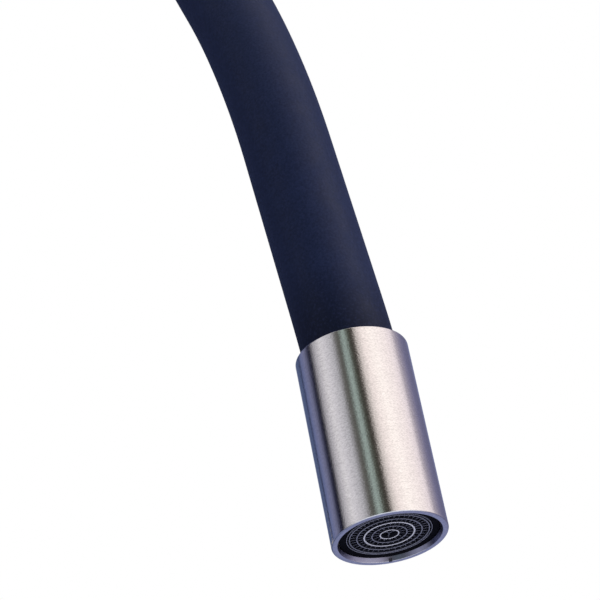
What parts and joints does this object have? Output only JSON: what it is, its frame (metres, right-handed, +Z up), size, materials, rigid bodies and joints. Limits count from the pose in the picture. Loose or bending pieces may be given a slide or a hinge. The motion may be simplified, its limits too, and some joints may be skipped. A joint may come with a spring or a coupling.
{
  "type": "pre rinse faucet",
  "caption": "Deck-mounted single-lever faucet with a silicone-covered gooseneck spout, a bendable last leg and a brushed steel outlet sleeve with an aerator.",
  "frame": {"origin": "centre of the base on the deck's top face, where the shank enters the deck hole", "axes": "+Z up, +X towards the outlet, +Y towards the lever; the spout's centre line lies in the XZ plane"},
  "size_m": [0.3221, 0.0943, 0.5627],
  "materials": {
    "brushed_steel": "circumferentially brushed stainless steel",
    "turned_steel": "fine turned steel",
    "brass": "machined, uncoated",
    "black_rubber": "matte",
    "navy_silicone": "matte moulded silicone",
    "white_plastic": "moulded acetal",
    "black_plastic": "moulded, fine satin",
    "ceramic": "lapped ceramic",
    "index_plug": "plain plug, no marking"
  },
  "bodies": {
    "base": {"deck_gasket": "black_rubber", "base_flange": "brushed_steel", "shank": "brass", "body_shell": "brushed_steel", "valve_block": "brass", "spout_retaining_screw": "turned_steel", "swivel_bearing_ring": "white_plastic", "cartridge_seals": "black_rubber", "cartridge_base": "white_plastic", "ceramic_disc_fixed": "ceramic", "cartridge_housing": "white_plastic", "cartridge_nut": "brass", "cartridge_dome": "brushed_steel"},
    "deck_clamp": {"clamp_rubber_washer": "black_rubber", "clamp_steel_washer": "turned_steel", "mounting_nut": "brass"},
    "mixer_turret": {"cartridge_turret": "white_plastic", "stem_pivot_pin": "turned_steel"},
    "moving_disc": {"ceramic_disc_moving": "ceramic", "disc_carrier": "white_plastic"},
    "lever": {"cartridge_stem": "turned_steel", "lever_hub": "brushed_steel", "lever_pin": "brushed_steel", "lever_grub_screw": "turned_steel", "lever_plug": "black_plastic", "temperature_index": "index_plug"},
    "spout": {"spout_base": "brushed_steel", "spout_spigot": "brass", "spigot_o_rings": "black_rubber", "hose_ferrule_lower": "turned_steel", "silicone_hose": "navy_silicone", "spout_tube": "turned_steel", "gooseneck_armature": "turned_steel", "water_tube": "black_plastic"},
    "outlet": {"outlet_sleeve": "brushed_steel", "nozzle_body": "brass", "sleeve_grub_screw": "turned_steel", "hose_ferrule_upper": "turned_steel", "aerator_washer": "black_rubber", "aerator_housing": "black_plastic", "aerator_grid": "black_plastic", "aerator_core": "black_plastic", "aerator_jet_plate": "white_plastic", "aerator_screen": "turned_steel"}
  },
  "joints": [
    {"name": "clamp_travel", "type": "slide", "parent": "base", "child": "deck_clamp", "axis": [0, 0, 1], "range_m": [-0.031, 0.028]},
    {"name": "lever_turn", "type": "hinge", "parent": "base", "child": "mixer_turret", "pos_m": [0, 0.034, 0.1], "axis": [0, 1, 0], "range_deg": [-42, 42]},
    {"name": "disc_slide", "type": "slide", "parent": "mixer_turret", "child": "moving_disc", "axis": [0, 0, 1], "range_m": [0, 0.0047]},
    {"name": "lever_lift", "type": "hinge", "parent": "mixer_turret", "child": "lever", "pos_m": [0, 0.034, 0.1], "axis": [-1, 0, 0], "range_deg": [0, 22]},
    {"name": "spout_swivel", "type": "hinge", "parent": "base", "child": "spout", "pos_m": [0, 0, 0.1612], "axis": [0, 0, 1], "continuous": true},
    {"name": "spout_flex", "type": "hinge", "parent": "spout", "child": "outlet", "pos_m": [0.17438, 0, 0.43752], "axis": [0, 1, 0], "range_deg": [-40, 30], "deforming": ["silicone_hose", "gooseneck_armature", "water_tube"]}
  ],
  "couplings": [
    {"joint": "disc_slide", "follows": "lever_lift", "m_per_rad": 0.0114}
  ]
}
